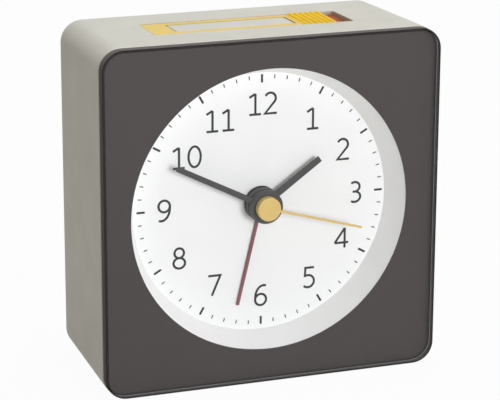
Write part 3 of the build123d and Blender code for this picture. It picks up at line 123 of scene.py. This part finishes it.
# Clear plate
PLATE_CORNER = 4.5 * MM
SIDE_BORDER = 0.03 * MM  # places nearer to the plate's outline than this are on its sides
EDGE_BORDER = 0.52 * MM  # and nearer than this, on its rounding
ROUNDING_COVER = 0.6  # share of the light that the rounding stops
SIDE_COLOUR = srgb(110, 107, 104)
# painted reflection: the dark print behind the plate, as the clear rounding would mirror it, painted on the
# rounding as a dark colour
ROUNDING_PAINTED_REFLECTION = srgb(48, 45, 44)
SIDE_ROUGHNESS = 0.6
CLEAR_COLOUR = srgb(254, 254, 254)
GLOSS_ROUGHNESS = 0.03
PLATE_INDEX = 1.49  # of refraction, for how much its gloss mirrors


def add_object(name, data):
    """New object in the scene."""
    made = bpy.data.objects.new(name, data)
    bpy.context.scene.collection.objects.link(made)
    return made


# Materials
def new_material(name):
    """Empty material with its node tree and its main shader."""
    made = bpy.data.materials.new(name)
    made.use_nodes = True
    return made, made.node_tree, made.node_tree.nodes["Principled BSDF"]


def noise(tree, size, detail=2.0):
    """Noise in the part's own coordinates, with features of about the given size."""
    place = tree.nodes.new("ShaderNodeTexCoord")
    made = tree.nodes.new("ShaderNodeTexNoise")
    made.inputs["Scale"].default_value = 1 / size
    made.inputs["Detail"].default_value = detail
    tree.links.new(place.outputs["Object"], made.inputs["Vector"])
    return made.outputs["Fac"]


def spread(tree, source, middle, reach):
    """A field mapped from its usual range to a reach on both sides of a middle."""
    made = tree.nodes.new("ShaderNodeMapRange")
    made.inputs["From Min"].default_value = FIELD_LOW
    made.inputs["From Max"].default_value = FIELD_HIGH
    made.inputs["To Min"].default_value = middle - reach
    made.inputs["To Max"].default_value = middle + reach
    tree.links.new(source, made.inputs["Value"])
    return made.outputs["Result"]


def tint(tree, source, low_colour, high_colour):
    """Colour between two colours along a field."""
    made = tree.nodes.new("ShaderNodeValToRGB")
    low, high = made.color_ramp.elements
    low.position = FIELD_LOW
    low.color = low_colour
    high.position = FIELD_HIGH
    high.color = high_colour
    tree.links.new(source, made.inputs["Fac"])
    return made.outputs["Color"]


def relief(tree, source, depth, shader):
    """Bump of the given depth on the shader."""
    made = tree.nodes.new("ShaderNodeBump")
    made.inputs["Distance"].default_value = depth
    tree.links.new(source, made.inputs["Height"])
    tree.links.new(made.outputs["Normal"], shader.inputs["Normal"])


def shade(colour, factor):
    """A colour made lighter or darker by a factor."""
    return [min(1.0, value * factor) for value in colour[:3]] + [1.0]


def moulded(
    name, colour, roughness, grain=0.35 * MM, depth=0.012 * MM, mottle=0.04, metal=0.0, coat=0.0, shine=0.5
):
    """Surface with a fine grain, a faint mottle in its colour and an uneven gloss."""
    made, tree, shader = new_material(name)
    broad = noise(tree, MOTTLE_SIZE)
    fine = noise(tree, grain, GRAIN_DETAIL)
    mottled = tint(tree, broad, shade(colour, 1 - mottle), shade(colour, 1 + mottle))
    tree.links.new(mottled, shader.inputs["Base Color"])
    tree.links.new(spread(tree, fine, roughness, ROUGHNESS_SPREAD), shader.inputs["Roughness"])
    relief(tree, fine, depth, shader)
    shader.inputs["Metallic"].default_value = metal
    shader.inputs["Coat Weight"].default_value = coat
    shader.inputs["Specular IOR Level"].default_value = shine
    return made


def brushed(name, colour, roughness, stretch):
    """Metal with fine lines along the axes where stretch is small."""
    made, tree, shader = new_material(name)
    place = tree.nodes.new("ShaderNodeTexCoord")
    scaled = tree.nodes.new("ShaderNodeMapping")
    scaled.inputs["Scale"].default_value = stretch
    lines = tree.nodes.new("ShaderNodeTexNoise")
    lines.inputs["Scale"].default_value = 1 / LINE_SIZE
    lines.inputs["Detail"].default_value = LINE_DETAIL
    tree.links.new(place.outputs["Object"], scaled.inputs["Vector"])
    tree.links.new(scaled.outputs["Vector"], lines.inputs["Vector"])
    field = lines.outputs["Fac"]
    lined = tint(tree, field, shade(colour, LINE_DARK), shade(colour, LINE_LIGHT))
    tree.links.new(lined, shader.inputs["Base Color"])
    tree.links.new(spread(tree, field, roughness, LINE_ROUGHNESS_SPREAD), shader.inputs["Roughness"])
    relief(tree, field, LINE_DEPTH, shader)
    shader.inputs["Metallic"].default_value = 1.0
    return made


def math_node(tree, operation, first, second):
    """Result of a sum on two inputs, each a number or another node's output."""
    made = tree.nodes.new("ShaderNodeMath")
    made.operation = operation
    for socket, value in zip(made.inputs, (first, second)):
        if isinstance(value, (int, float)):
            socket.default_value = value
        else:
            tree.links.new(value, socket)
    return made.outputs["Value"]


def vector_node(tree, operation, first, second=(0.0, 0.0, 0.0)):
    """Outputs of a sum on two vectors, the first of them another node's output."""
    made = tree.nodes.new("ShaderNodeVectorMath")
    made.operation = operation
    tree.links.new(first, made.inputs[0])
    made.inputs[1].default_value = second
    return made.outputs


def mix_shaders(tree, share, first, second):
    """Shader that is the second by a share and the first by the rest."""
    made = tree.nodes.new("ShaderNodeMixShader")
    tree.links.new(share, made.inputs["Fac"])
    tree.links.new(first, made.inputs[1])
    tree.links.new(second, made.inputs[2])
    return made.outputs["Shader"]


def outward(tree):
    """How far out a place on the plate is: the corner radius at its outline, less further in."""
    low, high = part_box("front_lens")
    corner_middle = (high - low) / 2 - Vector((PLATE_CORNER, 0, PLATE_CORNER))
    corner_middle.y = high.y - low.y  # past both faces, so that depth doesn't count
    place = tree.nodes.new("ShaderNodeTexCoord").outputs["Object"]
    centred = vector_node(tree, "SUBTRACT", place, (low + high) / 2)["Vector"]
    folded = vector_node(tree, "ABSOLUTE", centred)["Vector"]
    past = vector_node(tree, "SUBTRACT", folded, corner_middle)["Vector"]
    beyond = vector_node(tree, "MAXIMUM", past)["Vector"]
    return vector_node(tree, "LENGTH", beyond)["Value"]


def clear_plate(name):
    """Clear plate with a gloss on its outer faces, frosted sides and a partly clear rounding whose dark
    colour is a painted reflection of the dark print behind it.
    """
    made, tree, shader = new_material(name)
    reach = outward(tree)
    at_side = math_node(tree, "GREATER_THAN", reach, PLATE_CORNER - SIDE_BORDER)
    at_edge = math_node(tree, "GREATER_THAN", reach, PLATE_CORNER - EDGE_BORDER)
    # the rounding gets the painted dark reflection of the print, the sides their frosted grey
    tree.links.new(tint(tree, at_side, ROUNDING_PAINTED_REFLECTION, SIDE_COLOUR), shader.inputs["Base Color"])
    shader.inputs["Roughness"].default_value = SIDE_ROUGHNESS
    shader.inputs["Specular IOR Level"].default_value = 0.0
    through = tree.nodes.new("ShaderNodeBsdfTransparent")
    through.inputs["Color"].default_value = CLEAR_COLOUR
    gloss = tree.nodes.new("ShaderNodeBsdfGlossy")
    gloss.inputs["Roughness"].default_value = GLOSS_ROUGHNESS
    fresnel = tree.nodes.new("ShaderNodeFresnel")
    fresnel.inputs["IOR"].default_value = PLATE_INDEX
    inside = tree.nodes.new("ShaderNodeNewGeometry").outputs["Backfacing"]
    on_face = math_node(tree, "SUBTRACT", 1.0, math_node(tree, "MAXIMUM", inside, at_edge))
    gloss_share = math_node(tree, "MULTIPLY", fresnel.outputs["Fac"], on_face)
    clear = mix_shaders(tree, gloss_share, through.outputs["BSDF"], gloss.outputs["BSDF"])
    cover = math_node(tree, "MAXIMUM", at_side, math_node(tree, "MULTIPLY", at_edge, ROUNDING_COVER))
    whole = mix_shaders(tree, cover, clear, shader.outputs["BSDF"])
    tree.links.new(whole, tree.nodes["Material Output"].inputs["Surface"])
    return made


STONE = srgb(197, 195, 185)
STONE_SHINE = 0.25
LOOKS = {
    "case_shell": moulded("stone_case", STONE, 0.52, shine=STONE_SHINE),
    "rear_cover": moulded("stone_cover", shade(STONE, 0.96), 0.55, shine=STONE_SHINE),
    "battery_door": moulded("stone_door", shade(STONE, 0.97), 0.55, shine=STONE_SHINE),
    "snooze_button": moulded("stone_button", shade(STONE, 1.02), 0.5, shine=STONE_SHINE),
    "front_lens": clear_plate("clear_plate"),
    "front_mask": moulded(
        "anthracite_print", srgb(54, 45, 45), 0.5, grain=0.6 * MM, depth=0.0005 * MM, mottle=0.03, shine=0.2
    ),
    "reveal_ring": moulded("white_ring", srgb(250, 250, 250), 0.45, depth=0.004 * MM, mottle=0.01),
    "dial": moulded("white_dial", srgb(238, 239, 239), 0.6, grain=0.2 * MM, depth=0.003 * MM, mottle=0.01),
    "hour_hand": moulded("dark_hand", srgb(69, 69, 70), 0.42, depth=0.003 * MM, shine=0.1),
    "second_hand": moulded("yellow_hand", srgb(214, 183, 100), 0.45, depth=0.003 * MM),
    "alarm_hand": moulded("red_hand", srgb(130, 76, 85), 0.45, depth=0.003 * MM, shine=0.15),
    "top_inlay": moulded("light_yellow", srgb(220, 191, 100), 0.5, depth=0.005 * MM, shine=0.2),
    "alarm_slider": moulded("golden_yellow", srgb(234, 192, 2), 0.42, depth=0.004 * MM, shine=0.08),
    "alarm_flag": moulded("red_floor", srgb(150, 72, 44), 0.5, depth=0.004 * MM, shine=0.15),
    "time_knob": moulded("dark_knob", srgb(62, 61, 60), 0.5),
    "rear_screws": brushed("zinc_screw", srgb(196, 196, 194), 0.34, ALONG_Z),
    "movement_housing": moulded("black_movement", srgb(48, 48, 49), 0.5),
    "second_wheel": moulded("white_gear", srgb(232, 228, 214), 0.42, depth=0.004 * MM),
    "motor_rotor": moulded("dark_magnet", srgb(66, 66, 70), 0.4, metal=0.6),
    "motor_stator": brushed("stator_sheet", srgb(150, 151, 155), 0.38, ALONG_X),
    "coil_bobbin": moulded("red_bobbin", srgb(178, 52, 42), 0.45),
    "coil_winding": brushed("copper_wire", srgb(190, 104, 62), 0.32, ROUND_X),
    "circuit_board": moulded("green_board", srgb(42, 96, 62), 0.4, coat=0.3),
    "quartz_crystal": brushed("crystal_can", srgb(206, 206, 208), 0.24, ALONG_Z),
    "battery": moulded("dark_sleeve", srgb(70, 71, 74), 0.3, depth=0.003 * MM, coat=0.3),
    "battery_contact_positive": brushed("nickel_contact", srgb(204, 203, 198), 0.3, ALONG_Y),
    "piezo_buzzer": brushed("brass_disc", srgb(204, 172, 98), 0.32, ALONG_X),
    "tact_switch": moulded("black_switch", srgb(44, 44, 46), 0.42),
}
SAME_LOOK = {
    "minute_hand": "hour_hand",
    "alarm_knob": "time_knob",
    "movement_screws": "rear_screws",
    "movement_front_plate": "movement_housing",
    "movement_middle_plate": "movement_housing",
    "third_wheel": "second_wheel",
    "centre_wheel": "second_wheel",
    "intermediate_wheel": "second_wheel",
    "cannon_pinion": "second_wheel",
    "minute_wheel": "second_wheel",
    "hour_wheel": "second_wheel",
    "alarm_wheel": "second_wheel",
    "alarm_setting_wheel": "second_wheel",
    "switch_board": "circuit_board",
    "battery_contact_negative": "battery_contact_positive",
    "tact_plunger": "tact_switch",
    "slide_switch": "tact_switch",
}
for node, part in NODES.items():
    part.data.materials.clear()
    part.data.materials.append(LOOKS[SAME_LOOK.get(node, node)])

# Printed numbers and minute marks
DIAL_LOW, DIAL_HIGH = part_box("dial")
DIAL_FACE = DIAL_LOW.y
DIAL_MIDDLE = (DIAL_LOW + DIAL_HIGH) / 2
INK = moulded("dial_ink", srgb(43, 44, 45), 0.5, depth=0.002 * MM, shine=0.1)


def arc(x, y, across, up, start, end):
    """Points on an oval, from one angle to another in degrees, counted from +X towards +Y."""
    steps = max(LEAST_ARC_STEPS, round(abs(radians(end - start)) / ARC_STEP))
    angles = [radians(start + (end - start) * step / steps) for step in range(steps + 1)]
    return [(x + across * cos(angle), y + up * sin(angle)) for angle in angles]


def turned(strokes):
    """Strokes turned half round within a digit's height."""
    return [[(-x, 1 - y) for x, y in stroke] for stroke in strokes]


# Strokes of the digits, as middle lines in a box of height 1 about x = 0
SIX = [arc(0, 0.285, 0.28, 0.285, 0, 360), [(-0.28, 0.285)] + arc(0.152, 0.377, 0.432, 0.623, 180, 74)]
DIGITS = {
    "0": [arc(0, 0.5, 0.30, 0.5, 0, 360)],
    "1": [[(0.03, 0), (0.03, 1)], [(-0.27, 0.83), (0.03, 1)], [(-0.27, 0), (0.31, 0)]],
    "2": [arc(-0.02, 0.73, 0.27, 0.27, 152, -42) + [(-0.29, 0), (0.31, 0)]],
    "3": [
        arc(-0.03, 0.76, 0.25, 0.24, 135, -90) + [(-0.14, 0.52)],
        [(-0.14, 0.52)] + arc(-0.03, 0.26, 0.29, 0.26, 90, -128),
    ],
    "4": [[(0.18, 0), (0.18, 1)], [(0.18, 1), (-0.34, 0.27)], [(-0.34, 0.27), (0.37, 0.27)]],
    "5": [[(0.26, 1), (-0.19, 1), (-0.21, 0.59)] + arc(-0.05, 0.31, 0.31, 0.31, 115, -135)],
    "6": SIX,
    "7": [[(-0.30, 1), (0.31, 1), (-0.12, 0)]],
    "8": [arc(0, 0.76, 0.235, 0.24, 0, 360), arc(0, 0.26, 0.285, 0.26, 0, 360)],
    "9": turned(SIX),
}


def offset_points(points, closed, distance):
    """Line beside a line, with the corners mitred."""
    count = len(points)
    out = []
    for index, point in enumerate(points):
        before = points[(index - 1) % count] if closed or index else point
        after = points[(index + 1) % count] if closed or index < count - 1 else point
        first = (point - before).normalized()
        second = (after - point).normalized()
        along = (first + second).normalized()
        aside = Vector((-along.y, along.x))
        across = Vector((-second.y, second.x)) if second.length else Vector((-first.y, first.x))
        out.append(point + aside * distance / max(LEAST_MITRE, aside.dot(across)))
    return out


def ink_ribbon(mesh, points, width, front):
    """Flat printed line of a width along points on the dial, each given as (right, up) from its middle."""
    closed = (points[0] - points[-1]).length < SAME_PLACE
    line = points[:-1] if closed else points
    rows = []
    for depth in (DIAL_FACE - front, DIAL_FACE + INK_SUNK):
        for distance in (-width / 2, width / 2):
            beside = offset_points(line, closed, distance)
            rows.append([
                mesh.verts.new((DIAL_MIDDLE.x + p.x, depth, DIAL_MIDDLE.z + p.y)) for p in beside
            ])
    front_left, front_right, back_left, back_right = rows
    around = [
        (front_left, front_right), (front_right, back_right), (back_right, back_left), (back_left, front_left)
    ]
    lengths = len(line) if closed else len(line) - 1
    for index in range(lengths):
        after = (index + 1) % len(line)
        for one, other in around:
            mesh.faces.new((one[index], one[after], other[after], other[index]))
    if not closed:
        mesh.faces.new((front_left[0], front_right[0], back_right[0], back_left[0]))
        mesh.faces.new((back_left[-1], back_right[-1], front_right[-1], front_left[-1]))


def printed_piece(name, mesh):
    """Piece made of printed lines, on the dial."""
    bmesh.ops.recalc_face_normals(mesh, faces=mesh.faces)
    data = bpy.data.meshes.new(name)
    mesh.to_mesh(data)
    mesh.free()
    piece = add_object(name, data)
    data.materials.append(INK)
    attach(piece, "case")


def dial_numbers():
    """Upright numbers from one to twelve."""
    mesh = bmesh.new()
    rise = NUMBER_HEIGHT - NUMBER_STROKE
    for hour, spot in NUMBER_PLACES.items():
        middle = Vector(spot) * MM
        digits = str(hour)
        for place, digit in enumerate(digits):
            start = middle + Vector(((place - (len(digits) - 1) / 2) * DIGIT_PITCH, -rise / 2))
            for layer, stroke in enumerate(DIGITS[digit]):
                points = [start + Vector(point) * rise for point in stroke]
                ink_ribbon(mesh, points, NUMBER_STROKE, INK_THICKNESS + layer * INK_STEP)
    printed_piece("dial_numbers", mesh)


def minute_marks():
    """Sixty radial marks, longer and wider at the hours."""
    mesh = bmesh.new()
    for minute in range(MINUTES):
        inner, outer, width = MINUTE_MARK if minute % MINUTES_PER_HOUR_MARK else HOUR_MARK
        angle = 2 * pi * minute / MINUTES
        out = Vector((sin(angle), cos(angle)))
        line = [SCALE_MIDDLE + out * inner, SCALE_MIDDLE + out * outer]
        ink_ribbon(mesh, line, width, INK_THICKNESS)
    printed_piece("minute_marks", mesh)


dial_numbers()
minute_marks()

# Floor
FLOOR_SIZE = 3.0
FLOOR_WHITE = 0.96  # share of plain white in what is seen of the floor, the rest takes the shadow
FLOOR_COLOUR = (0.58, 0.56, 0.52, 1.0)
FLOOR_ROUGHNESS = 0.9


def seen_ray(tree):
    """One for rays from the camera and for mirrored and refracted ones, otherwise zero."""
    path = tree.nodes.new("ShaderNodeLightPath")
    total = path.outputs["Is Camera Ray"]
    for other in ("Is Glossy Ray", "Is Transmission Ray"):
        total = math_node(tree, "MAXIMUM", total, path.outputs[other])
    return total


def white_floor():
    """Pale floor that reads white and keeps a soft shadow."""
    made, tree, shader = new_material("white_floor")
    shader.inputs["Base Color"].default_value = FLOOR_COLOUR
    shader.inputs["Roughness"].default_value = FLOOR_ROUGHNESS
    glow = tree.nodes.new("ShaderNodeEmission")
    share = math_node(tree, "MULTIPLY", seen_ray(tree), FLOOR_WHITE)
    both = mix_shaders(tree, share, shader.outputs["BSDF"], glow.outputs["Emission"])
    tree.links.new(both, tree.nodes["Material Output"].inputs["Surface"])
    return made


floor_mesh = bmesh.new()
bmesh.ops.create_grid(floor_mesh, x_segments=1, y_segments=1, size=FLOOR_SIZE / 2)
floor_data = bpy.data.meshes.new("floor")
floor_mesh.to_mesh(floor_data)
floor_mesh.free()
floor_data.materials.append(white_floor())
floor = add_object("floor", floor_data)

# Light
WORLD_LEVEL = 0.25
WORLD_WARMTH = (1.0, 0.96, 0.89, 1.0)
LAMP_COLOUR = (0.98, 0.995, 1.02)
world = bpy.data.worlds.new("studio")
bpy.context.scene.world = world
world.use_nodes = True
sky = world.node_tree
background = sky.nodes["Background"]
seen = seen_ray(sky)
strength = sky.nodes.new("ShaderNodeMapRange")
strength.inputs["To Min"].default_value = WORLD_LEVEL
strength.inputs["To Max"].default_value = 1.0
sky.links.new(seen, strength.inputs["Value"])
sky.links.new(strength.outputs["Result"], background.inputs["Strength"])
whiteness = sky.nodes.new("ShaderNodeValToRGB")
whiteness.color_ramp.elements[0].color = WORLD_WARMTH
whiteness.color_ramp.elements[1].color = WHITE
sky.links.new(seen, whiteness.inputs["Fac"])
sky.links.new(whiteness.outputs["Color"], background.inputs["Color"])


def soft_lamp(name, place, size, level):
    """Square lamp that lights the clock face-on at a level, where 1 shows a colour as written."""
    data = bpy.data.lights.new(name, "AREA")
    data.size = size
    data.color = LAMP_COLOUR
    lamp = add_object(name, data)
    lamp.location = place
    aim = Vector(place) - Vector((0, 0, CAMERA_TARGET.z))
    lamp.rotation_euler = aim.to_track_quat("Z", "Y").to_euler()
    data.energy = level * pi ** 2 * aim.length_squared


soft_lamp("overhead", place=(0.10, 0.08, 1.05), size=0.6, level=0.77)
soft_lamp("front", place=(0.24, -1.09, 0.20), size=0.4, level=0.67)

# Camera
view = bpy.data.cameras.new("view")
view.sensor_fit = "HORIZONTAL"
view.sensor_width = SENSOR_WIDTH
view.lens = FOCAL_PIXELS / IMAGE_WIDTH * SENSOR_WIDTH
view.clip_start = NEAREST_SEEN
camera = add_object("camera", view)
forward = Vector((
    sin(CAMERA_YAW) * cos(CAMERA_PITCH), cos(CAMERA_YAW) * cos(CAMERA_PITCH), sin(CAMERA_PITCH)
))
level_right = Vector((cos(CAMERA_YAW), -sin(CAMERA_YAW), 0))
level_up = level_right.cross(forward)
right = level_right * cos(CAMERA_ROLL) + level_up * sin(CAMERA_ROLL)
up = right.cross(forward)
turn = Matrix((right, up, -forward)).transposed()
camera.matrix_world = Matrix.Translation(CAMERA_TARGET - forward * CAMERA_DISTANCE) @ turn.to_4x4()
bpy.context.scene.camera = camera
bpy.context.scene.view_settings.view_transform = "Standard"
